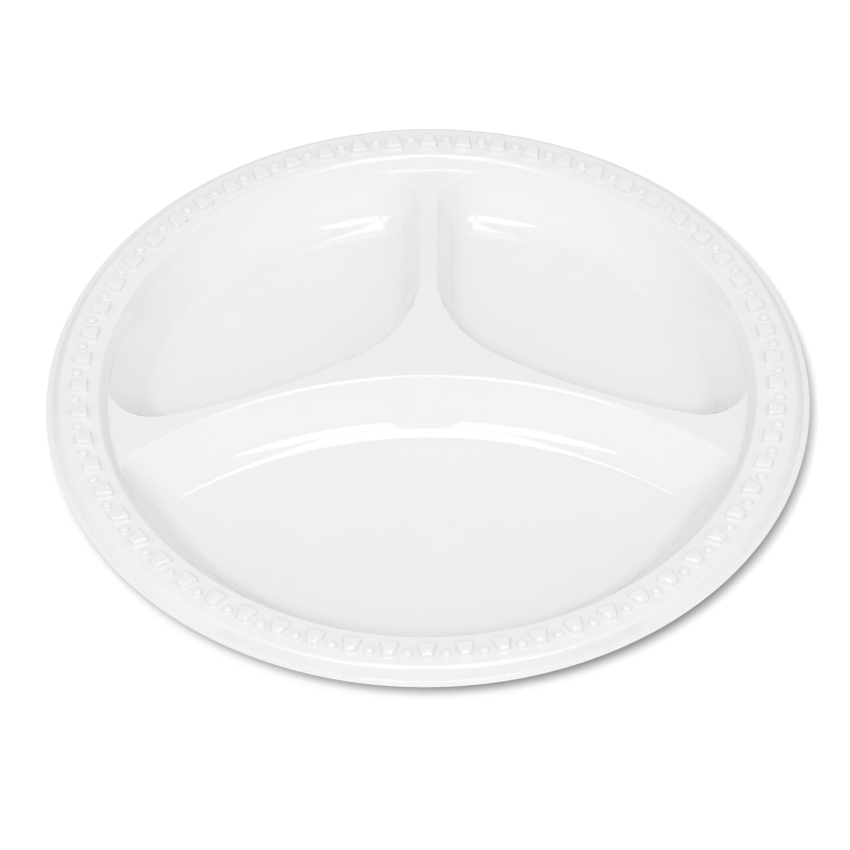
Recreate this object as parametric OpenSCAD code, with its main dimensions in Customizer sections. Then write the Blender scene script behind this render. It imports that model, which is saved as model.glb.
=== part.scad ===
// Round plate moulded from thin sheet, with two wells at the back, one wide well at the front and a
// raised rim that carries a border of wedges and beads. The origin is on the table under the middle
// of the plate, +Z is up, and -Y is the side of the wide front well.

/* [Plate] */
// Diameter over the lip
plate_d = 260; // [220:1:300]
// Height of the flat band of the rim above the table
rim_h = 20.2; // [18:0.1:26]
// Thickness of the moulded sheet
sheet_t = 0.6; // [0.4:0.1:0.9]

/* [Rim] */
// Width of the flat lip
lip_w = 2; // [1.5:0.1:3]
// Drop from the band to the lip
lip_drop = 4; // [3:0.1:5]
// Radius of the groove where the skirt meets the lip
skirt_foot_r = 0.6; // [0.3:0.1:0.9]
// Steepness of the skirt
skirt_a = 65; // [55:1:75]
// Radius of the shoulder between the band and the skirt
shoulder_r = 1.6; // [1.3:0.1:2]
// Width of the flat band
band_w = 11.5; // [10.8:0.1:16]
// Radius where the band turns down into the step wall
brow_r = 2.6; // [1.5:0.1:3]
// Height of the step wall, from the web up to the band
step_h = 4.2; // [3.6:0.1:6]

/* [Web] */
// Width of the arm between the two back wells
back_arm_w = 5; // [4:0.1:12]
// Width of each side arm where it is narrowest
side_arm_w = 2.6; // [2:0.1:6]
// Direction from the middle of the front arc to the narrow place of the right side arm
side_arm_a = 68; // [64:1:72]
// Distance from the middle of the plate at which the hub passes into the back arm
hub_back = 42; // [30:1:60]
// Distance from the middle line at which the hub passes into each side arm
hub_side = 34; // [24:1:60]

/* [Wells] */
// Radius of the front well's back edge
front_arc_r = 156; // [150:1:170]
// How far the front well's back edge reaches past the middle of the plate
front_apex = 9; // [4:0.5:14]
// Radius of the front well's two corners
front_corner_r = 10; // [8:0.5:16]
// Radius of the edge of each back well along its side arm
back_arc_r = 223; // [190:1:260]
// Radius of each back well's corner at the hub
hub_r = 45; // [30:1:50]
// Radius of each back well's corner beside the back arm
top_corner_r = 15; // [10:0.5:18]
// Radius of each back well's tail
tail_r = 15; // [12:0.5:18]

/* [Well walls] */
// How far the walls under the rim lean in down to the floor
rim_run = 14; // [12:0.5:16]
// How far the walls beside the back arm lean in
arm_run = 9.5; // [7:0.5:12]
// How far the back wells' walls along the side arms lean in
side_run = 12; // [8:0.5:14]
// How far the front well's back wall leans in
front_run = 15.5; // [11:0.5:18]
// Radius of the floor's corners in the front well
front_floor_r = 9; // [6:0.5:14]
// Radius of the back wells' floor at the hub
hub_floor_r = 14; // [8:1:20]
// Radius of the other floor corners in the back wells
back_floor_r = 10; // [6:0.5:12]
// Radius of the wells' edges along the web
edge_r = 1.2; // [0.6:0.1:2]
// Radius at the foot of a wall, as a share of its lean
foot_share = 0.5; // [0.4:0.01:0.6]

/* [Border] */
// Wedges in the border, with as many beads
border_n = 60; // [40:1:66]
// Distance from the band's inner edge to the wedges
wedge_in = 2.3; // [2:0.1:3.6]
// Length of a wedge, across the band
wedge_l = 6.8; // [5:0.1:7]
// Width of a wedge at its inner end
wedge_inner_w = 6.4; // [4.5:0.1:6.6]
// Width of a wedge at its outer end
wedge_outer_w = 4.2; // [3:0.1:4.6]
// Height of a wedge
wedge_h = 1.8; // [0.6:0.1:2.4]
// Radius of a wedge's corners at its foot
wedge_r = 1.2; // [0.8:0.1:1.4]
// How far a wedge's sides lean in
wedge_lean = 0.8; // [0.3:0.1:1]
// Distance from the band's inner edge to the middle of the beads
bead_in = 6.6; // [4:0.1:8]
// Diameter of a bead at its foot
bead_d = 3.4; // [2:0.1:3.6]
// Height of a bead
bead_h = 1.2; // [0.6:0.1:1.6]

/* [Hidden] */
plate_colour = "white";
// Steps along a wall from its upper edge to the floor, and along the arcs of an outline
wall_steps = 8;
corner_steps = 12;
side_steps = 10;
sweep_steps = 26;
end_steps = 8;
fillet_steps = 6;
wedge_steps = 2;
ring_pull = 0.06;
$fn = 96;

// Radii of the rim, from the lip inward
plate_r = plate_d / 2;
skirt_r = plate_r - lip_w;
band_outer_r = skirt_r - bend_run(lip_drop, shoulder_r + skirt_foot_r, skirt_a);
band_inner_r = band_outer_r - band_w;

// Heights of the web and of the lip, and the steepness of the wall under the rim, which runs on
// from the band past the web down into the wells, whose outlines start on it at well_r
web_h = rim_h - step_h;
lip_top_h = rim_h - lip_drop;
step_a = steepest(rim_run, 0, 0);
well_r = band_inner_r - bend_run(step_h, brow_r, step_a);

// Middles of the two arcs that bound the side arms
centre = [0, 0];
front_mid = [0, front_apex - front_arc_r];
side_gap_r = front_arc_r + side_arm_w + back_arc_r;
back_mid = front_mid + side_gap_r * bearing_unit(side_arm_a);

// Width taken by a slope of steepness a that rises h between two bends whose radii add up to r
function bend_run(h, r, a) = r * sin(a) + (h - r * (1 - cos(a))) / tan(a);

// Direction as a vector of length one, and the bearing from one point to another from 0 to 360
function bearing_unit(a) = [cos(a), sin(a)];
function bearing(p, q) = (atan2(q.y - p.y, q.x - p.x) + 360) % 360;

// Points along an arc from step first to step n, where step 0 is its start
function arc(mid, r, start, end, n, first = 0) =
    [for (i = [first:n]) mid + r * bearing_unit(start + (end - start) * i / n)];

// Where the circles round p and q meet, on the right as seen from p towards q
function meet(p, p_r, q, q_r) =
    let (d = norm(q - p), along = (q - p) / d)
    let (k = (p_r * p_r - q_r * q_r + d * d) / (2 * d))
    p + along * k + sqrt(p_r * p_r - k * k) * [along.y, -along.x];

// Outline of the right back well, anticlockwise from its tail, drawn in from the web's edge by run
// under the rim, beside the back arm and along the side arm, with the radii of its three corners
function back_outline(in_rim, in_arm, in_side, top_r, end_r, mid_r) =
    let (rim_r = well_r - in_rim, side_r = back_arc_r - in_side, arm_x = back_arm_w / 2 + in_arm)
    let (top_x = arm_x + top_r, top = [top_x, sqrt(pow(rim_r - top_r, 2) - top_x * top_x)])
    let (hub_x = arm_x + mid_r, hub_dx = back_mid.x - hub_x)
    let (hub = [hub_x, back_mid.y - sqrt(pow(side_r - mid_r, 2) - hub_dx * hub_dx)])
    let (tail = meet(centre, rim_r - end_r, back_mid, side_r - end_r))
    let (tail_a = bearing(centre, tail), top_a = bearing(centre, top))
    let (hub_a = bearing(back_mid, hub), side_a = bearing(back_mid, tail))
    concat(
        arc(centre, rim_r, tail_a, top_a, sweep_steps),
        arc(top, top_r, top_a, 180, corner_steps, 1),
        arc(hub, mid_r, 180, hub_a, corner_steps),
        arc(back_mid, side_r, hub_a, side_a, side_steps, 1),
        arc(tail, end_r, side_a, tail_a + 360, corner_steps, 1)
    );

// Outline of the front well, anticlockwise from its left corner, round under the rim first
function front_outline(in_rim, in_back, corner_r) =
    let (rim_r = well_r - in_rim, back_r = front_arc_r - in_back)
    let (right = meet(front_mid, back_r - corner_r, centre, rim_r - corner_r))
    let (left = [-right.x, right.y])
    let (back_a = bearing(front_mid, right), rim_a = bearing(centre, right) - 360)
    concat(
        arc(centre, rim_r, 180 - rim_a, 360 + rim_a, sweep_steps),
        arc(right, corner_r, rim_a, back_a, corner_steps, 1),
        arc(front_mid, back_r, back_a, 180 - back_a, sweep_steps, 1),
        arc(left, corner_r, 180 - back_a, 180 - rim_a, corner_steps, 1)
    );

// How much each point of an outline belongs to the wall under the rim, from 1 there over the corners
// to 0 along the web, in the order of the outline
function ease(f) = f * f * (3 - 2 * f);
function fade(n) = [for (i = [1:n]) ease(1 - i / n)];
function all_of(value, n) = [for (i = [1:n]) value];
back_share = concat(all_of(1, sweep_steps + 1), fade(corner_steps), all_of(0, corner_steps + 1 + side_steps),
    backwards(fade(corner_steps)));
front_share = concat(all_of(1, sweep_steps + 1), fade(corner_steps), all_of(0, sweep_steps),
    backwards(fade(corner_steps)));

// Closed outlines of the wells at the web, and the outlines there and at the floor without the last
// point, which closes them on the first
back_loop = back_outline(0, 0, 0, top_corner_r, tail_r, hub_r);
front_loop = front_outline(0, 0, front_corner_r);
function open_end(points) = [for (i = [0:len(points) - 2]) points[i]];
back_top = open_end(back_loop);
back_floor_edge = open_end(back_outline(rim_run, arm_run, side_run, back_floor_r, back_floor_r, hub_floor_r));
front_top = open_end(front_loop);
front_floor_edge = open_end(front_outline(rim_run, front_run, front_floor_r));

// Outline of the web: the inner edges of the three wells, joined by arcs along the rim
function backwards(list) = [for (i = [len(list) - 1:-1:0]) list[i]];
function inner_edge(loop) = [for (i = [sweep_steps:len(loop) - 1]) loop[i]];
function turn(a) = (a + 540) % 360 - 180;
function rim_arc(p, q) =
    let (start = bearing(centre, p), sweep = turn(bearing(centre, q) - start))
    open_end(arc(centre, well_r, start, start + sweep, end_steps, 1));
right_edge = inner_edge(back_loop);
front_edge = inner_edge(front_loop);
left_edge = backwards([for (p = right_edge) [-p.x, p.y]]);
function end_of(list) = list[len(list) - 1];
web_outline = concat(
    right_edge, rim_arc(end_of(right_edge), front_edge[0]),
    front_edge, rim_arc(end_of(front_edge), left_edge[0]),
    left_edge, rim_arc(end_of(left_edge), right_edge[0])
);

// Steepest slope of a wall that leans in by run, starts at slope a, bends over radius edge at its top
// and over its share of run at its foot
function steepest(run, a, edge) =
    let (foot = foot_share * run)
    let (x = run + edge * sin(a), y = web_h - sheet_t - foot - edge * cos(a))
    atan2(y, x) + asin((edge + foot) / norm([x, y]));

// Point of such a wall at share f of its length: how far in, how far down, and the slope there
function wall_at(run, a, f) =
    let (foot = foot_share * run, drop = web_h - sheet_t, top = steepest(run, a, edge_r))
    let (bend = edge_r * (top - a) * PI / 180, last = foot * top * PI / 180)
    let (fall = drop - edge_r * (cos(a) - cos(top)) - foot * (1 - cos(top)), plain = fall / sin(top))
    let (way = f * (bend + plain + last), rest = bend + plain + last - way)
    way < bend
        ? let (b = a + way / edge_r * 180 / PI) [edge_r * (sin(b) - sin(a)), edge_r * (cos(a) - cos(b)), b]
        : rest < last
            ? let (b = rest / foot * 180 / PI) [run - foot * sin(b), drop - foot * (1 - cos(b)), b]
            : [edge_r * (sin(top) - sin(a)) + (way - bend) * cos(top),
               edge_r * (cos(a) - cos(top)) + (way - bend) * sin(top), top];

// Point of a wall between a point p of the web's edge and a point q of the floor's edge, depth t
// into the sheet. The wall's upper end is cut off upright, where it meets the web and the rim.
function wall_point(p, q, share, f, t) =
    let (run = norm(q - p), a = share * step_a, w = wall_at(run, a, f))
    let (skin = f == 0 ? [0, t / cos(a)] : [-t * sin(w[2]), t * cos(w[2])])
    let (level = p + (q - p) / run * (w[0] + skin.x))
    [level.x, level.y, web_h - w[1] - skin.y];

// Rings of points down a wall, upper face first and then the underside from the floor back up. The
// rings lie closer together at the top and at the foot than between.
function ring_share(k) = let (f = k / wall_steps) f - ring_pull * sin(360 * f);
function wall_rings(top, floor, shares) = [
    for (t = [0, sheet_t])
        for (k = [0:wall_steps])
            let (f = ring_share(t == 0 ? k : wall_steps - k))
            for (i = [0:len(top) - 1]) wall_point(top[i], floor[i], shares[i], f, t)];

// Two triangles between neighbouring rings a and b from corner i to corner j of n
function strip(a, b, i, j, n) = [[a * n + i, b * n + i, b * n + j], [a * n + i, b * n + j, a * n + j]];

// Wall of a well from the outline top at the web down to the outline floor, as one closed skin
module well_wall(top, floor, shares) {
    n = len(top);
    rings = 2 * (wall_steps + 1);
    skin = [
        for (k = [0:rings - 1])
            for (i = [0:n - 1])
                for (face = strip(k, (k + 1) % rings, i, (i + 1) % n, n)) face];
    color(plate_colour) polyhedron(wall_rings(top, floor, shares), skin, convexity = 6);
}

module front_wall() {
    well_wall(front_top, front_floor_edge, front_share);
}

module back_right_wall() {
    well_wall(back_top, back_floor_edge, back_share);
}

module back_left_wall() {
    mirror([1, 0, 0]) back_right_wall();
}

// Flat floor of a well, with its underside on the table
module well_floor(outline) {
    color(plate_colour) linear_extrude(sheet_t) polygon(outline);
}

module front_floor() {
    well_floor(front_floor_edge);
}

module back_right_floor() {
    well_floor(back_floor_edge);
}

module back_left_floor() {
    mirror([1, 0, 0]) back_right_floor();
}

// Part of the web inside the box from corner low to corner high
module web_zone(low, high) {
    color(plate_colour)
        translate([0, 0, web_h - sheet_t])
            linear_extrude(sheet_t)
                intersection() {
                    polygon(web_outline);
                    translate(low) square(high - low);
                }
}

module hub() {
    web_zone([-hub_side, -plate_r], [hub_side, hub_back]);
}

module back_arm() {
    web_zone([-hub_side, hub_back], [hub_side, plate_r]);
}

module right_arm() {
    web_zone([hub_side, -plate_r], [plate_r, plate_r]);
}

module left_arm() {
    web_zone([-plate_r, -plate_r], [-hub_side, plate_r]);
}

// Sections through the rim, depth t into the sheet: from the wells' edge up to the band, cut off
// upright as the walls of the wells are, and from the band over the shoulder and the skirt to the lip
function step_edge(t) = concat(
    [[well_r, web_h - t / cos(step_a)]],
    arc([band_inner_r, rim_h - brow_r], brow_r - t, 90 + step_a, 90, fillet_steps)
);
function lip_edge(t) = concat(
    arc([band_outer_r, rim_h - shoulder_r], shoulder_r - t, 90, 90 - skirt_a, fillet_steps),
    arc([skirt_r, lip_top_h + skirt_foot_r], skirt_foot_r + t, -90 - skirt_a, -90, fillet_steps),
    [[plate_r, lip_top_h - t]]
);

module ring(upper, under) {
    color(plate_colour) rotate_extrude() polygon(concat(upper, backwards(under)));
}

module step_wall() {
    ring(step_edge(0), step_edge(sheet_t));
}

module rim_band() {
    ring([[band_inner_r, rim_h], [band_outer_r, rim_h]],
         [[band_inner_r, rim_h - sheet_t], [band_outer_r, rim_h - sheet_t]]);
}

module outer_lip() {
    ring(lip_edge(0), lip_edge(sheet_t));
}

// Outline of a wedge, wide end towards the middle of the plate, with corners of radius r round
// fixed middles, so that a smaller r draws all sides in alike
function wedge_outline(r) =
    let (inner = wedge_inner_w / 2 - wedge_r, outer = wedge_outer_w / 2 - wedge_r)
    let (reach = wedge_l / 2 - wedge_r, side_a = atan((inner - outer) / (2 * reach)))
    concat(
        arc([inner, -reach], r, -90, side_a, wedge_steps),
        arc([outer, reach], r, side_a, 90, wedge_steps),
        arc([-outer, reach], r, 90, 180 - side_a, wedge_steps),
        arc([-inner, -reach], r, 180 - side_a, 270, wedge_steps)
    );

module wedge() {
    foot = wedge_outline(wedge_r);
    top = wedge_outline(wedge_r - wedge_lean);
    n = len(foot);
    sides = [for (i = [0:n - 1]) for (face = strip(0, 1, i, (i + 1) % n, n)) face];
    foot_face = [for (i = [0:n - 1]) i];
    top_face = [for (i = [0:n - 1]) 2 * n - 1 - i];
    points = concat([for (p = foot) [p.x, p.y, 0]], [for (p = top) [p.x, p.y, wedge_h]]);
    polyhedron(points, concat(sides, [foot_face, top_face]));
}

module wedge_ring() {
    color(plate_colour)
        for (k = [0:border_n - 1])
            rotate([0, 0, 360 / border_n * k])
                translate([0, band_inner_r + wedge_in + wedge_l / 2, rim_h])
                    wedge();
}

// Bead as the cap of a ball: the ball's radius follows from the cap's width and height
module bead() {
    ball_r = (bead_d * bead_d / 4 + bead_h * bead_h) / (2 * bead_h);
    cap_a = asin(bead_d / 2 / ball_r);
    rotate_extrude()
        polygon(concat([[0, 0]], arc([0, bead_h - ball_r], ball_r, 90 - cap_a, 90, fillet_steps)));
}

module bead_ring() {
    color(plate_colour)
        for (k = [0:border_n - 1])
            rotate([0, 0, 360 / border_n * (k + 0.5)])
                translate([0, band_inner_r + bead_in, rim_h])
                    bead();
}

outer_lip();
rim_band();
step_wall();
hub();
back_arm();
left_arm();
right_arm();
front_wall();
back_left_wall();
back_right_wall();
front_floor();
back_left_floor();
back_right_floor();
wedge_ring();
bead_ring();
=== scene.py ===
import math

import bpy
import numpy as np
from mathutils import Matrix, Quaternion, Vector


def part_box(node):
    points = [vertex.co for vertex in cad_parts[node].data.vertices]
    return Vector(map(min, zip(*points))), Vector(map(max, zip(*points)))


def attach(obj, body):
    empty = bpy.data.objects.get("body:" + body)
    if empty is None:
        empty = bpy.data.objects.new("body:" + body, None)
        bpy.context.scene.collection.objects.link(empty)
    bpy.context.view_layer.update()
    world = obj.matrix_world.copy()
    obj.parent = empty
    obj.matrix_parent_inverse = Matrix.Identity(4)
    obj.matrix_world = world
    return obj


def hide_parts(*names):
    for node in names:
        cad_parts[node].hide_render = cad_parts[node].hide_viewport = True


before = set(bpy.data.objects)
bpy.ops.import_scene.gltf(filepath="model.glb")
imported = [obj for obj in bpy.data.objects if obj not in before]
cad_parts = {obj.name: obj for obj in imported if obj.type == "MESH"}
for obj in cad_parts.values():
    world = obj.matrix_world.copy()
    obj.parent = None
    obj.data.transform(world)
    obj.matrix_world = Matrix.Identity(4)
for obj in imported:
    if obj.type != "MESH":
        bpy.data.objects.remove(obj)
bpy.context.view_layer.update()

QUARTER = math.pi / 2

# Driving sizes of the plate, in metres, read from the frame
PLATE_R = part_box("outer_lip")[1].x
EDGE_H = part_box("outer_lip")[0].z
BAND_OUTER_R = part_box("rim_band")[1].x
STEP_WALL_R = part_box("step_wall")[1].x
RIM_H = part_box("rim_band")[1].z
WEB_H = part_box("hub")[1].z
SHEET_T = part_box("front_floor")[1].z
FRONT_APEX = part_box("front_wall")[1].y
BACK_ARM_W = 2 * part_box("back_right_wall")[0].x
WEDGE_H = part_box("wedge_ring")[1].z - RIM_H
BEAD_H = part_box("bead_ring")[1].z - RIM_H

# Rim, from the lip inward. The solid's brow, the edge from the band to the wall, is wider than the
# photograph's
LIP_W = 0.002
SKIRT_FOOT_R = 0.0004
SHOULDER_R = 0.0016
CAD_BROW_R = 0.0026
BROW_R = 0.0017
SKIRT_A = math.radians(65)

# Edges of the wells at the web
SIDE_ARM_W = 0.0026
SIDE_ARM_A = math.radians(68)
FRONT_ARC_R = 0.156
FRONT_CORNER_R = 0.010
BACK_ARC_R = 0.223
HUB_R = 0.045
TOP_CORNER_R = 0.015
TAIL_R = 0.015

# Walls of the wells: how far they lean in, the corners of their floors, their rounding at the web
# and, as a share of their lean, at the floor
RIM_RUN = 0.014
ARM_RUN = 0.0108
SIDE_RUN = 0.012
FRONT_RUN = 0.0155
FRONT_FLOOR_R = 0.009
HUB_FLOOR_R = 0.014
BACK_FLOOR_R = 0.010
TOP_FLOOR_R = 0.0032
EDGE_R = 0.0012
FOOT_SHARE = 0.5

# Fillets between the web and the rim's wall, which thin out to a share of their radius at the ends
FILLET_R = 0.0009
FILLET_END_SHARE = 0.05

# Border of wedges and beads. The phases turn each row by a share of a step
BORDER_N = 60
WEDGE_PHASE = 0
WEDGE_IN = 0.0024
WEDGE_L = 0.0061
WEDGE_INNER_W = 0.0064
WEDGE_OUTER_W = 0.0044
WEDGE_INNER_R = 0.0010
WEDGE_OUTER_R = 0.0013
WEDGE_A = math.radians(87)
WEDGE_FOOT_R = 0.0004
WEDGE_TOP_R = 0.0005
BEAD_PHASE = 0.5
BEAD_IN = 0.0066
BEAD_D = 0.0035
BEAD_A = math.radians(82)
BEAD_FOOT_R = 0.0003
BEAD_TOP_R = 0.00055

# Fineness of the meshes. RING_PULL draws the rings of a wall towards its bends
WALL_STEPS = 48
RING_PULL = 0.06
CORNER_STEPS = 28
SWEEP_STEPS = 110
SIDE_STEPS = 50
END_STEPS = 24
FILLET_STEPS = 10
TURN_STEPS = 720

# Rows of the rim's section on both sides of the flat lip: it follows the section's first point and
# three bends
LIP_ROWS = (3 * (FILLET_STEPS + 1), 3 * (FILLET_STEPS + 1) + 1)

# Plastic: its tints and gloss, each varied by a noise of this scale and detail, and the strength,
# depth and noise of its ripples and grain
PLASTIC_IOR = 1.55
COOL_TINT = (0.862, 0.863, 0.868, 1)
WARM_TINT = (0.880, 0.879, 0.880, 1)
TINT_NOISE = (35, 3)
SMOOTHEST = 0.03
ROUGHEST = 0.055
GLOSS_NOISE = (900, 4)
RIPPLE = (0.04, 0.0002, (120, 2))
GRAIN = (0.01, 0.00003, (4000, 3))

# Floor: its size, how far it lies below the plate, and its grey outside and in the disc below,
# which is a painted shadow. Outside the disc a glow, seen in full by the camera and in part in the
# gloss, lifts it to white; inside, the painted shadow has no glow
FLOOR_HALF = 6.0
FLOOR_DROP = 0.0001
FLOOR_ROUGHNESS = 0.9
FLOOR_GREY = 0.85
PAINTED_SHADOW_GREY = 0.45
FLOOR_GLOW = 0.38
GLOW_IN_GLOSS = 0.5

# Painted shadow: a darker disc of the floor, which deepens the key light's shadow of the plate
PAINTED_SHADOW_MIDDLE = (0.0015, 0.012)
PAINTED_SHADOW_R = 0.127
PAINTED_SHADOW_BLUR = 0.007

# Studio walls: each goes, along one axis of the direction, from one place to another between the
# two values that follow. FLANK_GLOW counts to both sides alike
FRONT_LEVEL = ("Y", 1, -1, 0.722, 0.82)
SIDE_LEVEL = ("X", -1, 1, 0.96, 1.04)
FLANK_GLOW = (0.2, 1, 1, 1.30)
LOW_BAND = ("Z", 0.22, 0.0, 0, 1)
ABOVE_GROUND = ("Z", -0.15, -0.05, 0, 1)
LOW_BAND_SIDE = ("X", -1, 1, 0.85, 1.0)
LOW_BACK = ("Z", 0.55, 0.15, 0, 1)
BACK = ("Y", 0.35, 0.75, 0, 0.65)
BACK_TO_FRONT = ("Y", 1, -1, 0, 1)
BACK_TINT = (0.965, 0.974, 1.0, 1)
FRONT_TINT = (1.0, 0.985, 0.948, 1)

# Soft boxes, which show in the gloss alone, and the key light, which doesn't show in it: middle,
# width, depth, target and radiance
OVERHEAD_BOX = ((0.01, 0.846, 1.77), 0.28, 2.88, (0.01, 1.746, 0.78), 2.6)
FRONT_LEFT_BOX = ((-0.31, -0.6, 1.05), 0.46, 1.2, (-0.31, 0, 1.05), 2.6)
FRONT_RIGHT_BOX = ((0.31, -0.6, 1.05), 0.46, 1.2, (0.31, 0, 1.05), 2.6)
KEY_LIGHT = ((-0.24, -1.74, 2.055), 0.75, 0.75, (0, 0, 0), 10.5)

# Camera: the rim's middle and half its width as the photograph shows them, in its own pixels
PHOTO_SIZE = 850
RIM_MIDDLE_X = 427.65
RIM_MIDDLE_Y = 385.5
RIM_HALF_WIDTH = 382.0
CAMERA_DISTANCE = 1.766
CAMERA_ELEVATION = math.radians(46.77)
CAMERA_AZIMUTH = math.radians(0.61)
CAMERA_ROLL = math.radians(-0.665)
SENSOR_WIDTH = 36.0


def bend_run(height, radius, steepness):
    """Width of a slope that rises height between two bends whose radii add up to radius."""
    straight = height - radius * (1 - math.cos(steepness))
    return radius * math.sin(steepness) + straight / math.tan(steepness)


def steepest(run, start, edge):
    """Steepest slope of a wall that leans in by run, starts at slope start, bends over radius edge
    at its top and over its share of run at its foot."""
    foot = FOOT_SHARE * run
    x = run + edge * np.sin(start)
    y = WEB_H - SHEET_T - foot - edge * np.cos(start)
    return np.arctan2(y, x) + np.arcsin((edge + foot) / np.hypot(x, y))


SKIRT_R = PLATE_R - LIP_W
LIP_H = EDGE_H + SHEET_T
STEP_A = steepest(RIM_RUN, 0, 0)
WELL_R = STEP_WALL_R - bend_run(RIM_H - WEB_H, CAD_BROW_R, STEP_A)
BAND_INNER_R = WELL_R + bend_run(RIM_H - WEB_H, BROW_R, STEP_A)
CENTRE = np.zeros(2)
FRONT_MID = np.array([0, FRONT_APEX - FRONT_ARC_R])
SIDE_GAP_R = FRONT_ARC_R + SIDE_ARM_W + BACK_ARC_R
BACK_MID = FRONT_MID + SIDE_GAP_R * np.array([math.cos(SIDE_ARM_A), math.sin(SIDE_ARM_A)])


# Outlines

def arc(mid, radius, start, end, steps, first=0):
    """Points along an arc from step first on, where step 0 is its start."""
    turn = start + (end - start) * np.arange(first, steps + 1) / steps
    return np.asarray(mid) + radius * np.stack([np.cos(turn), np.sin(turn)], axis=1)


def bearing(p, q):
    """Angle of the way from p to q, from 0 to a full turn."""
    return math.atan2(q[1] - p[1], q[0] - p[0]) % math.tau


def meet(p, p_r, q, q_r):
    """Where the circles round p and q meet, on the right as seen from p towards q."""
    gap = np.linalg.norm(q - p)
    along = (q - p) / gap
    reach = (p_r ** 2 - q_r ** 2 + gap ** 2) / (2 * gap)
    return p + along * reach + math.sqrt(p_r ** 2 - reach ** 2) * np.array([along[1], -along[0]])


def back_outline(in_rim, in_arm, in_side, top_r, end_r, mid_r):
    """Closed outline of the right back well, anticlockwise from its tail."""
    rim_r = WELL_R - in_rim
    side_r = BACK_ARC_R - in_side
    arm_x = BACK_ARM_W / 2 + in_arm
    top_x = arm_x + top_r
    top = np.array([top_x, math.sqrt((rim_r - top_r) ** 2 - top_x ** 2)])
    hub_x = arm_x + mid_r
    hub_fall = math.sqrt((side_r - mid_r) ** 2 - (BACK_MID[0] - hub_x) ** 2)
    hub = np.array([hub_x, BACK_MID[1] - hub_fall])
    tail = meet(CENTRE, rim_r - end_r, BACK_MID, side_r - end_r)
    tail_a, top_a = bearing(CENTRE, tail), bearing(CENTRE, top)
    hub_a, side_a = bearing(BACK_MID, hub), bearing(BACK_MID, tail)
    arm_start, arm_end = top + [-top_r, 0], hub + [-mid_r, 0]
    arm = arm_start + (arm_end - arm_start) * np.arange(1, END_STEPS)[:, None] / END_STEPS
    return np.concatenate([
        arc(CENTRE, rim_r, tail_a, top_a, SWEEP_STEPS),
        arc(top, top_r, top_a, math.pi, CORNER_STEPS, 1),
        arm,
        arc(hub, mid_r, math.pi, hub_a, CORNER_STEPS),
        arc(BACK_MID, side_r, hub_a, side_a, SIDE_STEPS, 1),
        arc(tail, end_r, side_a, tail_a + math.tau, CORNER_STEPS, 1),
    ])


def front_outline(in_rim, in_back, corner_r):
    """Closed outline of the front well, anticlockwise from its left corner on under the rim."""
    rim_r = WELL_R - in_rim
    back_r = FRONT_ARC_R - in_back
    right = meet(FRONT_MID, back_r - corner_r, CENTRE, rim_r - corner_r)
    left = right * [-1, 1]
    back_a = bearing(FRONT_MID, right)
    rim_a = bearing(CENTRE, right) - math.tau
    return np.concatenate([
        arc(CENTRE, rim_r, math.pi - rim_a, math.tau + rim_a, SWEEP_STEPS),
        arc(right, corner_r, rim_a, back_a, CORNER_STEPS, 1),
        arc(FRONT_MID, back_r, back_a, math.pi - back_a, SWEEP_STEPS, 1),
        arc(left, corner_r, math.pi - back_a, math.pi - rim_a, CORNER_STEPS, 1),
    ])


def rim_arc(p, q):
    """Points along the rim between p and q, without either."""
    start = bearing(CENTRE, p)
    sweep = (bearing(CENTRE, q) - start + math.pi) % math.tau - math.pi
    return arc(CENTRE, WELL_R, start, start + sweep, END_STEPS, 1)[:-1]


def ease(share):
    """Smooth rise from 0 to 1."""
    return share ** 2 * (3 - 2 * share)


# How much each point of an outline belongs to the wall under the rim: 1 there, fading over the
# corners to 0 along the web
FADE = ease(1 - np.arange(1, CORNER_STEPS + 1) / CORNER_STEPS)
UNDER_RIM = np.ones(SWEEP_STEPS + 1)
BACK_WEB = np.zeros(END_STEPS - 1 + CORNER_STEPS + 1 + SIDE_STEPS)
BACK_SHARE = np.concatenate([UNDER_RIM, FADE, BACK_WEB, FADE[::-1]])
FRONT_SHARE = np.concatenate([UNDER_RIM, FADE, np.zeros(SWEEP_STEPS), FADE[::-1]])
BACK_LOOP = back_outline(0, 0, 0, TOP_CORNER_R, TAIL_R, HUB_R)
BACK_FLOOR = back_outline(RIM_RUN, ARM_RUN, SIDE_RUN, TOP_FLOOR_R, BACK_FLOOR_R, HUB_FLOOR_R)
FRONT_LOOP = front_outline(0, 0, FRONT_CORNER_R)
FRONT_FLOOR = front_outline(RIM_RUN, FRONT_RUN, FRONT_FLOOR_R)


# Meshes

def add_piece(name, points, faces, nodes, normals_at=None):
    """A smooth mesh that replaces these CAD nodes. normals_at gives the normals of some points, so
    that the piece runs on smoothly into the sheet beside it."""
    mesh = bpy.data.meshes.new(name)
    mesh.from_pydata(np.asarray(points).tolist(), [], faces)
    mesh.validate()
    mesh.polygons.foreach_set("use_smooth", [True] * len(mesh.polygons))
    normals = np.empty(3 * len(mesh.vertices))
    mesh.vertices.foreach_get("normal", normals)
    normals = normals.reshape(-1, 3)
    for index, normal in (normals_at or {}).items():
        normals[index] = normal
    mesh.normals_split_custom_set_from_vertices(normals.tolist())
    piece = bpy.data.objects.new(name, mesh)
    bpy.context.scene.collection.objects.link(piece)
    piece.data.materials.append(PLASTIC)
    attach(piece, "root")
    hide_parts(*nodes)


def quads(rows, columns):
    """Faces between neighbouring closed rings of columns points each."""
    faces = []
    for row in range(rows - 1):
        for column in range(columns):
            beside = (column + 1) % columns
            faces.append((row * columns + column, (row + 1) * columns + column,
                          (row + 1) * columns + beside, row * columns + beside))
    return faces


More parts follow.
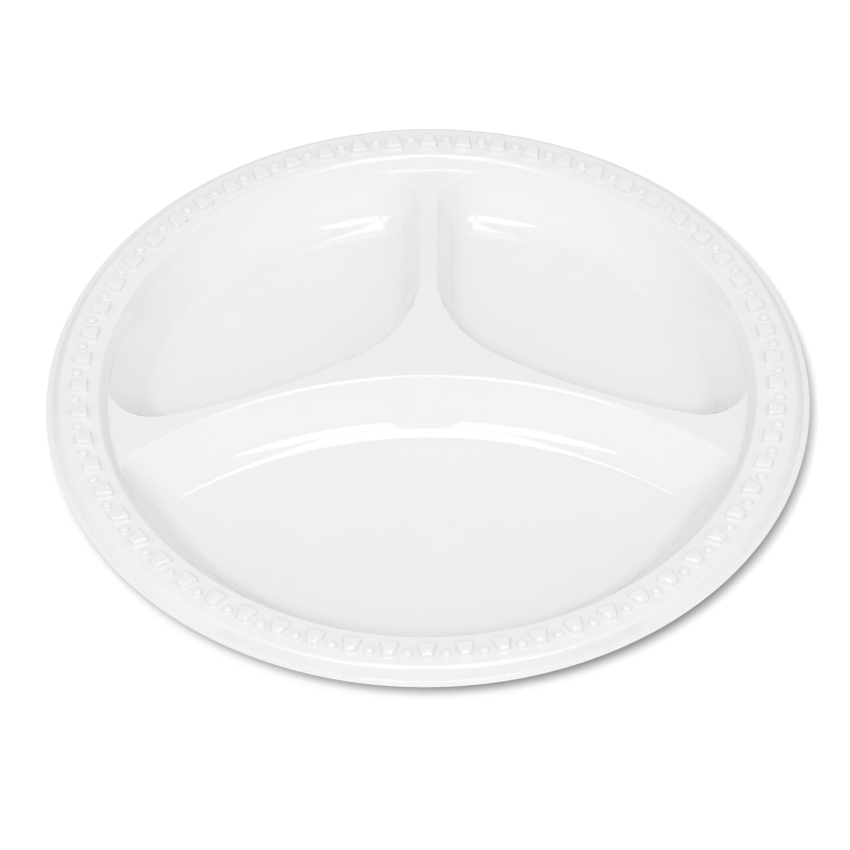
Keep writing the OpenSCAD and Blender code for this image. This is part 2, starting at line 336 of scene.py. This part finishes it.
def wall_sheet(top, floor, shares, depth):
    """Rings of points down a wall from the web to the floor, depth into the sheet, and the upper
    face's normals."""
    inward = floor - top
    run = np.linalg.norm(inward, axis=1)
    inward = inward / run[:, None]
    start = shares * STEP_A
    foot = FOOT_SHARE * run
    steep = steepest(run, start, EDGE_R)
    bend, last = EDGE_R * (steep - start), foot * steep
    well_h = WEB_H - SHEET_T
    fall = well_h - EDGE_R * (np.cos(start) - np.cos(steep)) - foot * (1 - np.cos(steep))
    plain = fall / np.sin(steep)
    points, normals = [], []
    for step in range(WALL_STEPS + 1):
        share = step / WALL_STEPS
        way = (share - RING_PULL * math.sin(math.tau * share)) * (bend + plain + last)
        rest = bend + plain + last - way
        at_foot, past_bend = rest < last, np.maximum(way - bend, 0)
        slope = np.where(way < bend, start + way / EDGE_R, np.where(at_foot, rest / foot, steep))
        across = np.where(
            at_foot, run - foot * np.sin(slope),
            EDGE_R * (np.sin(slope) - np.sin(start)) + past_bend * np.cos(steep))
        down = np.where(
            at_foot, well_h - foot * (1 - np.cos(slope)),
            EDGE_R * (np.cos(start) - np.cos(slope)) + past_bend * np.sin(steep))
        level = top + inward * (across - depth * np.sin(slope))[:, None]
        points.append(np.column_stack([level, WEB_H - down - depth * np.cos(slope)]))
        normals.append(np.column_stack([inward * np.sin(slope)[:, None], np.cos(slope)]))
    return np.concatenate(points), np.concatenate(normals)


def add_well(name, loop, floor_loop, share_loop, nodes, mirrored=False):
    """A well as a sheet with an upper face and an underside, open along its upper edge."""
    top, floor, shares = loop[:-1], floor_loop[:-1], share_loop[:-1]
    if mirrored:
        top, floor = (points[::-1] * [-1, 1] for points in (top, floor))
        shares = shares[::-1]
    count = len(top)
    upper, normals = wall_sheet(top, floor, shares, 0)
    under, _ = wall_sheet(top, floor, shares, SHEET_T)
    size = len(upper)
    ring = list(range(size - count, size))
    faces = [tuple(reversed(face)) for face in quads(WALL_STEPS + 1, count)]
    faces += [tuple(size + corner for corner in reversed(face)) for face in faces]
    faces += [tuple(ring), tuple(size + corner for corner in reversed(ring))]
    ends = list(range(count)) + ring
    normals_at = {index: normals[index] for index in ends}
    normals_at.update({size + index: -normals[index] for index in ends})
    add_piece(name, np.concatenate([upper, under]), faces, nodes, normals_at)


def add_ring(name, section, end_slope, level_rows, nodes):
    """A section, as radius and height, turned round the plate's axis. Both its ends, on the upper
    face and on the underside, have this slope, and the level rows are shaded level."""
    turn = np.arange(TURN_STEPS) * math.tau / TURN_STEPS
    radius, height = section[:, :1], section[:, 1:]
    points = np.stack([radius * np.cos(turn), radius * np.sin(turn),
                       np.broadcast_to(height, (len(section), TURN_STEPS))], axis=2)
    last = (len(section) - 1) * TURN_STEPS
    ends = np.stack([-math.sin(end_slope) * np.cos(turn), -math.sin(end_slope) * np.sin(turn),
                     np.full(TURN_STEPS, math.cos(end_slope))], axis=1)
    normals_at = dict(enumerate(ends))
    normals_at.update({last + index: -normal for index, normal in enumerate(ends)})
    for row in level_rows:
        normals_at.update({row * TURN_STEPS + index: (0, 0, 1) for index in range(TURN_STEPS)})
    faces = quads(len(section), TURN_STEPS)
    add_piece(name, points.reshape(-1, 3), faces, nodes, normals_at)


def rim_section():
    """Section from the wells' edge over the rim to the lip's edge and back along the underside."""
    def face(depth):
        return np.concatenate([
            [[WELL_R + depth * math.sin(STEP_A), WEB_H - depth * math.cos(STEP_A)]],
            arc([BAND_INNER_R, RIM_H - BROW_R], BROW_R - depth, QUARTER + STEP_A, QUARTER,
                FILLET_STEPS),
            arc([BAND_OUTER_R, RIM_H - SHOULDER_R], SHOULDER_R - depth, QUARTER,
                QUARTER - SKIRT_A, FILLET_STEPS),
            arc([SKIRT_R, LIP_H + SKIRT_FOOT_R], SKIRT_FOOT_R + depth,
                -QUARTER - SKIRT_A, -QUARTER, FILLET_STEPS),
        ])
    end_r = SHEET_T / 2
    end = arc([PLATE_R - end_r, EDGE_H + end_r], end_r, QUARTER, -QUARTER, FILLET_STEPS)
    return np.concatenate([face(0), end, face(SHEET_T)[::-1]])


def land_fillet(p, q):
    """Concave strip between the web and the rim's wall from p to q, thinning out at both ends."""
    line = np.concatenate([[p], rim_arc(p, q), [q]])
    outward = line / np.linalg.norm(line, axis=1)[:, None]
    share = np.arange(len(line)) / (len(line) - 1)
    radius = FILLET_R * np.sqrt(np.sin(math.pi * share).clip(FILLET_END_SHARE ** 2))
    reach = radius * math.tan(STEP_A / 2)
    points, normals = [], []
    for slope in STEP_A * np.arange(FILLET_STEPS + 1) / FILLET_STEPS:
        across = WELL_R - reach + radius * math.sin(slope)
        height = WEB_H + radius * (1 - math.cos(slope))
        points.append(np.column_stack([outward * across[:, None], height]))
        normals.append(np.column_stack([-outward * math.sin(slope),
                                        np.full(len(line), math.cos(slope))]))
    columns = len(line)
    faces = [(row * columns + column, row * columns + column + 1,
              (row + 1) * columns + column + 1, (row + 1) * columns + column)
             for row in range(FILLET_STEPS) for column in range(columns - 1)]
    return np.concatenate(points), np.concatenate(normals), faces


def under_edge(outward, slope, line):
    """Where the underside of the wall beside the web starts below a line of the web's edge, and
    the normals there."""
    level = line + outward * (SHEET_T * np.sin(slope))[:, None]
    points = np.column_stack([level, WEB_H - SHEET_T * np.cos(slope)])
    return points, np.column_stack([outward * np.sin(slope)[:, None], -np.cos(slope)])


def add_web():
    """The flat web between the wells, upper face and underside, and its fillets along the rim."""
    right, right_floor, right_share, front, front_floor, front_share = (
        line[SWEEP_STEPS:]
        for line in (BACK_LOOP, BACK_FLOOR, BACK_SHARE, FRONT_LOOP, FRONT_FLOOR, FRONT_SHARE))
    left, left_floor = (line[::-1] * [-1, 1] for line in (right, right_floor))
    lands = [(right[-1], front[0]), (front[-1], left[0]), (left[-1], right[0])]
    outline, under, under_normals, shares = [], [], [], []
    for line, floor, share, land in ((right, right_floor, right_share, lands[0]),
                                     (front, front_floor, front_share, lands[1]),
                                     (left, left_floor, right_share[::-1], lands[2])):
        edge = rim_arc(*land)
        outward = np.concatenate([line - floor, edge])
        outward /= np.linalg.norm(outward, axis=1)[:, None]
        line = np.concatenate([line, edge])
        share = np.concatenate([share, np.ones(len(edge))])
        points, normals = under_edge(outward, share * STEP_A, line)
        outline.append(line)
        under.append(points)
        under_normals.append(normals)
        shares.append(share)
    outline, under, under_normals, shares = (
        np.concatenate(part) for part in (outline, under, under_normals, shares))
    count = len(outline)
    points = [[x, y, height] for height in (WEB_H, WEB_H - SHEET_T) for x, y in outline]
    points += under.tolist()
    faces = [tuple(reversed(range(count))), tuple(range(count, 2 * count))]
    normals_at = {2 * count + index: normal for index, normal in enumerate(under_normals)}
    for index in range(count):
        after = (index + 1) % count
        normals_at[count + index] = (0, 0, -1)
        if shares[index] > 0 and shares[after] > 0:
            faces.append((count + after, count + index, 2 * count + index, 2 * count + after))
    for land in lands:
        strip, normals, strip_faces = land_fillet(*land)
        first = len(points)
        normals_at.update({first + index: normal for index, normal in enumerate(normals)})
        faces += [tuple(first + corner for corner in face) for face in strip_faces]
        points += strip.tolist()
    add_piece("web", points, faces, ("hub", "back_arm", "left_arm", "right_arm"), normals_at)


def flank(height, steepness, foot_r, top_r):
    """Rise of a raised shape's side over its foot's fillet and its rounded edge, as reach out of
    the shape's outline and height."""
    foot = foot_r / 2
    lean = bend_run(height, foot_r + top_r, steepness)
    return np.concatenate([
        arc([foot, foot_r], foot_r, -QUARTER, -QUARTER - steepness, FILLET_STEPS // 2),
        arc([foot - lean, height - top_r], top_r, QUARTER - steepness, QUARTER, FILLET_STEPS // 2),
    ])


def wedge_points():
    """Rings of one wedge, from the foot's fillet up to its flat top, wide end inward."""
    inner = np.array([WEDGE_INNER_W / 2 - WEDGE_INNER_R, WEDGE_INNER_R - WEDGE_L / 2])
    outer = np.array([WEDGE_OUTER_W / 2 - WEDGE_OUTER_R, WEDGE_L / 2 - WEDGE_OUTER_R])
    turn = math.acos((WEDGE_OUTER_R - WEDGE_INNER_R) / np.linalg.norm(inner - outer))
    side_a = bearing(outer, inner) + turn - math.tau
    corners = [(inner, WEDGE_INNER_R, -QUARTER, side_a), (outer, WEDGE_OUTER_R, side_a, QUARTER),
               (outer * [-1, 1], WEDGE_OUTER_R, QUARTER, math.pi - side_a),
               (inner * [-1, 1], WEDGE_INNER_R, math.pi - side_a, 3 * QUARTER)]
    rings = []
    for spread, height in flank(WEDGE_H, WEDGE_A, WEDGE_FOOT_R, WEDGE_TOP_R):
        ring = np.concatenate([arc(mid, radius + spread, start, end, FILLET_STEPS // 2)
                               for mid, radius, start, end in corners])
        rings.append(np.column_stack([ring, np.full(len(ring), height)]))
    return rings


def bead_points():
    """Rings of one bead, a round button with a rounded edge."""
    turns = 3 * FILLET_STEPS
    return [np.column_stack([arc(CENTRE, BEAD_D / 2 + spread, 0, math.tau, turns)[:-1],
                             np.full(turns, height)])
            for spread, height in flank(BEAD_H, BEAD_A, BEAD_FOOT_R, BEAD_TOP_R)]


def add_border(name, rings, radius, phase, nodes):
    """A raised shape repeated round the band, standing on it at this radius."""
    rows, columns = len(rings), len(rings[0])
    shape = np.concatenate(rings) + [0, radius, RIM_H]
    shape_faces = [tuple(reversed(face)) for face in quads(rows, columns)]
    shape_faces.append(tuple(range((rows - 1) * columns, rows * columns)))
    points, faces = [], []
    for index in range(BORDER_N):
        turn = math.tau * (index + phase) / BORDER_N
        spin = np.array([[math.cos(turn), math.sin(turn), 0], [-math.sin(turn), math.cos(turn), 0],
                         [0, 0, 1]])
        first = index * len(shape)
        points.append(shape @ spin)
        faces += [tuple(first + corner for corner in face) for face in shape_faces]
    add_piece(name, np.concatenate(points), faces, nodes)


# Material nodes

def calc(tree, operation, *values):
    """A sum of this kind over sockets and numbers, as a socket."""
    node = tree.nodes.new("ShaderNodeMath")
    node.operation = operation
    for value, socket in zip(values, node.inputs):
        if isinstance(value, bpy.types.NodeSocket):
            tree.links.new(value, socket)
        else:
            socket.default_value = value
    return node.outputs["Value"]


def map_range(tree, value, start, end, at_start, at_end):
    """Node whose result goes from at_start to at_end while value goes from start to end."""
    node = tree.nodes.new("ShaderNodeMapRange")
    node.inputs["From Min"].default_value = start
    node.inputs["From Max"].default_value = end
    node.inputs["To Min"].default_value = at_start
    node.inputs["To Max"].default_value = at_end
    tree.links.new(value, node.inputs["Value"])
    return node


def blend_colour(tree, share, first, second):
    """A colour that goes from the first to the second as share goes from 0 to 1."""
    node = tree.nodes.new("ShaderNodeMix")
    node.data_type = "RGBA"
    node.inputs["A"].default_value = first
    node.inputs["B"].default_value = second
    tree.links.new(share, node.inputs["Factor"])
    return node.outputs["Result"]


# Plastic

def gloss_plastic():
    """White moulded polystyrene: a slightly cool white with a smooth, faintly rippled gloss."""
    material = bpy.data.materials.new("white_plastic")
    material.use_nodes = True
    tree = material.node_tree
    shader = tree.nodes["Principled BSDF"].inputs
    place = tree.nodes.new("ShaderNodeTexCoord").outputs["Object"]

    def noise(scale, detail):
        node = tree.nodes.new("ShaderNodeTexNoise")
        node.inputs["Scale"].default_value = scale
        node.inputs["Detail"].default_value = detail
        tree.links.new(place, node.inputs["Vector"])
        return node.outputs["Fac"]

    def bump(strength, depth, pattern):
        node = tree.nodes.new("ShaderNodeBump")
        node.inputs["Strength"].default_value = strength
        node.inputs["Distance"].default_value = depth
        tree.links.new(noise(*pattern), node.inputs["Height"])
        return node

    tint = blend_colour(tree, noise(*TINT_NOISE), COOL_TINT, WARM_TINT)
    roughness = map_range(tree, noise(*GLOSS_NOISE), 0, 1, SMOOTHEST, ROUGHEST)
    ripple, grain = bump(*RIPPLE), bump(*GRAIN)
    shader["IOR"].default_value = PLASTIC_IOR
    tree.links.new(tint, shader["Base Color"])
    tree.links.new(roughness.outputs["Result"], shader["Roughness"])
    tree.links.new(ripple.outputs["Normal"], grain.inputs["Normal"])
    tree.links.new(grain.outputs["Normal"], shader["Normal"])
    return material


PLASTIC = gloss_plastic()
add_ring("rim", rim_section(), STEP_A, LIP_ROWS, ("outer_lip", "rim_band", "step_wall"))
add_web()
add_well("front_well", FRONT_LOOP, FRONT_FLOOR, FRONT_SHARE, ("front_wall", "front_floor"))
add_well("back_right_well", BACK_LOOP, BACK_FLOOR, BACK_SHARE,
         ("back_right_wall", "back_right_floor"))
add_well("back_left_well", BACK_LOOP, BACK_FLOOR, BACK_SHARE,
         ("back_left_wall", "back_left_floor"), mirrored=True)
add_border("border_wedges", wedge_points(), STEP_WALL_R + WEDGE_IN + WEDGE_L / 2, WEDGE_PHASE,
           ("wedge_ring",))
add_border("border_beads", bead_points(), STEP_WALL_R + BEAD_IN, BEAD_PHASE, ("bead_ring",))


# Stage, lights and camera

def add_floor():
    """Pale floor, white round the plate, which keeps the plate's shadow and has a painted one."""
    half = FLOOR_HALF
    mesh = bpy.data.meshes.new("floor")
    corners = ((-half, -half), (half, -half), (half, half), (-half, half))
    mesh.from_pydata([(x, y, -FLOOR_DROP) for x, y in corners], [], [(0, 1, 2, 3)])
    floor = bpy.data.objects.new("floor", mesh)
    bpy.context.scene.collection.objects.link(floor)
    material = bpy.data.materials.new("floor_white")
    material.use_nodes = True
    tree = material.node_tree
    shader = tree.nodes["Principled BSDF"].inputs
    # Painted shadow: inside a soft-edged disc under the plate the floor is greyer and has no glow
    gap = tree.nodes.new("ShaderNodeVectorMath")
    gap.operation = "DISTANCE"
    gap.inputs[1].default_value = (*PAINTED_SHADOW_MIDDLE, 0)
    tree.links.new(tree.nodes.new("ShaderNodeTexCoord").outputs["Object"], gap.inputs[0])
    edge = map_range(tree, gap.outputs["Value"], PAINTED_SHADOW_R, PAINTED_SHADOW_R + PAINTED_SHADOW_BLUR, 0, 1)
    edge.interpolation_type = "SMOOTHSTEP"
    outside_painted_shadow = edge.outputs["Result"]
    painted_shadow, grey = ((level, level, level, 1) for level in (PAINTED_SHADOW_GREY, FLOOR_GREY))
    colour = blend_colour(tree, outside_painted_shadow, painted_shadow, grey)
    rays = tree.nodes.new("ShaderNodeLightPath").outputs
    seen = calc(tree, "MULTIPLY_ADD", rays["Is Glossy Ray"], GLOW_IN_GLOSS, rays["Is Camera Ray"])
    glow = calc(tree, "MULTIPLY", calc(tree, "MULTIPLY", outside_painted_shadow, seen), FLOOR_GLOW)
    shader["Roughness"].default_value = FLOOR_ROUGHNESS
    shader["Specular IOR Level"].default_value = 0.0
    shader["Emission Color"].default_value = (1, 1, 1, 1)
    tree.links.new(colour, shader["Base Color"])
    tree.links.new(glow, shader["Emission Strength"])
    mesh.materials.append(material)


def add_light(name, middle, width, depth, target, radiance, glossy=True):
    """A lamp at middle, facing target. It shows in the gloss alone, or else lights the surfaces
    without showing in their gloss."""
    light = bpy.data.lights.new(name, "AREA")
    light.shape = "RECTANGLE"
    light.size, light.size_y = width, depth
    light.energy = math.pi * radiance * width * depth
    lamp = bpy.data.objects.new(name, light)
    lamp.location = middle
    lamp.rotation_euler = (Vector(middle) - Vector(target)).to_track_quat("Z", "Y").to_euler()
    lamp.visible_camera = False
    lamp.visible_diffuse = not glossy
    lamp.visible_glossy = glossy
    bpy.context.scene.collection.objects.link(lamp)


def add_world():
    """Pale studio walls: brighter and warmer in front, brighter at both sides, dim in a band round
    the foot of the walls and cool and dim low at the back. Below ground they are plain again."""
    world = bpy.data.worlds.new("studio")
    world.use_nodes = True
    tree = world.node_tree
    way = tree.nodes.new("ShaderNodeSeparateXYZ")
    tree.links.new(tree.nodes.new("ShaderNodeTexCoord").outputs["Generated"], way.inputs["Vector"])

    def along(axis, *ends):
        return map_range(tree, way.outputs[axis], *ends).outputs["Result"]

    def product(*values):
        result = values[0]
        for value in values[1:]:
            result = calc(tree, "MULTIPLY", result, value)
        return result

    def inverse(value):
        return map_range(tree, value, 0, 1, 1, 0).outputs["Result"]

    sideways = calc(tree, "ABSOLUTE", way.outputs["X"])
    flanks = map_range(tree, sideways, *FLANK_GLOW).outputs["Result"]
    above = along(*ABOVE_GROUND)
    low_band = inverse(product(above, along(*LOW_BAND), along(*LOW_BAND_SIDE)))
    low_back = inverse(product(above, along(*LOW_BACK), along(*BACK)))
    level = product(along(*FRONT_LEVEL), along(*SIDE_LEVEL), flanks, low_band, low_back)
    tint = blend_colour(tree, along(*BACK_TO_FRONT), BACK_TINT, FRONT_TINT)
    background = tree.nodes["Background"].inputs
    tree.links.new(level, background["Strength"])
    tree.links.new(tint, background["Color"])
    bpy.context.scene.world = world


def add_camera():
    """Camera with the rim's middle and width where the photograph has them."""
    toward = Vector((math.cos(CAMERA_ELEVATION) * math.sin(CAMERA_AZIMUTH),
                     -math.cos(CAMERA_ELEVATION) * math.cos(CAMERA_AZIMUTH),
                     math.sin(CAMERA_ELEVATION)))
    pixels = RIM_HALF_WIDTH / PLATE_R * CAMERA_DISTANCE
    middle = Vector((RIM_MIDDLE_X - PHOTO_SIZE / 2, PHOTO_SIZE / 2 - RIM_MIDDLE_Y, -pixels))
    turn = toward.to_track_quat("Z", "Y") @ Quaternion((0, 0, 1), CAMERA_ROLL)
    turn = turn @ middle.rotation_difference(Vector((0, 0, -1)))
    data = bpy.data.cameras.new("camera")
    data.sensor_width = SENSOR_WIDTH
    data.lens = pixels / PHOTO_SIZE * SENSOR_WIDTH
    camera = bpy.data.objects.new("camera", data)
    camera.location = Vector((0, 0, RIM_H)) + toward * CAMERA_DISTANCE
    camera.rotation_euler = turn.to_euler()
    bpy.context.scene.collection.objects.link(camera)
    bpy.context.scene.camera = camera


add_floor()
add_world()
add_light("overhead_box", *OVERHEAD_BOX)
add_light("front_left_box", *FRONT_LEFT_BOX)
add_light("front_right_box", *FRONT_RIGHT_BOX)
add_light("key", *KEY_LIGHT, glossy=False)
add_camera()
bpy.context.scene.view_settings.view_transform = "Standard"
